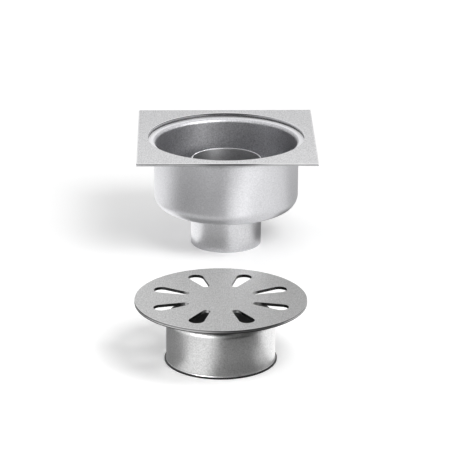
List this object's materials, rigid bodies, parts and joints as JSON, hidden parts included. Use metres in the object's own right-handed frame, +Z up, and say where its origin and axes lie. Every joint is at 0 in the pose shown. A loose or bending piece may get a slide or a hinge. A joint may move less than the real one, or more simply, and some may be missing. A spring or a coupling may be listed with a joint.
{
  "type": "gully trap",
  "caption": "Floor gully in sheet steel: square flange plate over a drawn bowl with an outlet tube, and a slotted strainer with a bell, lifted out beside it.",
  "frame": {"origin": "centre of the outlet tube's lower end", "axes": "+Z up along the outlet tube's axis, +X to the right, the lifted-out strainer stands towards -Y"},
  "size_m": [0.2, 0.5375, 0.126],
  "materials": {
    "flange_steel": "fine satin",
    "bowl_steel": "matt pickled",
    "tube_steel": "satin",
    "strainer_steel": "fine satin",
    "spacer_steel": "turned",
    "bell_steel": "satin"
  },
  "bodies": {
    "root": {"flange_plate": "flange_steel", "bowl": "bowl_steel", "outlet_tube": "tube_steel", "strainer_plate": "strainer_steel", "bell_spacer": "spacer_steel", "bell": "bell_steel"}
  },
  "joints": []
}
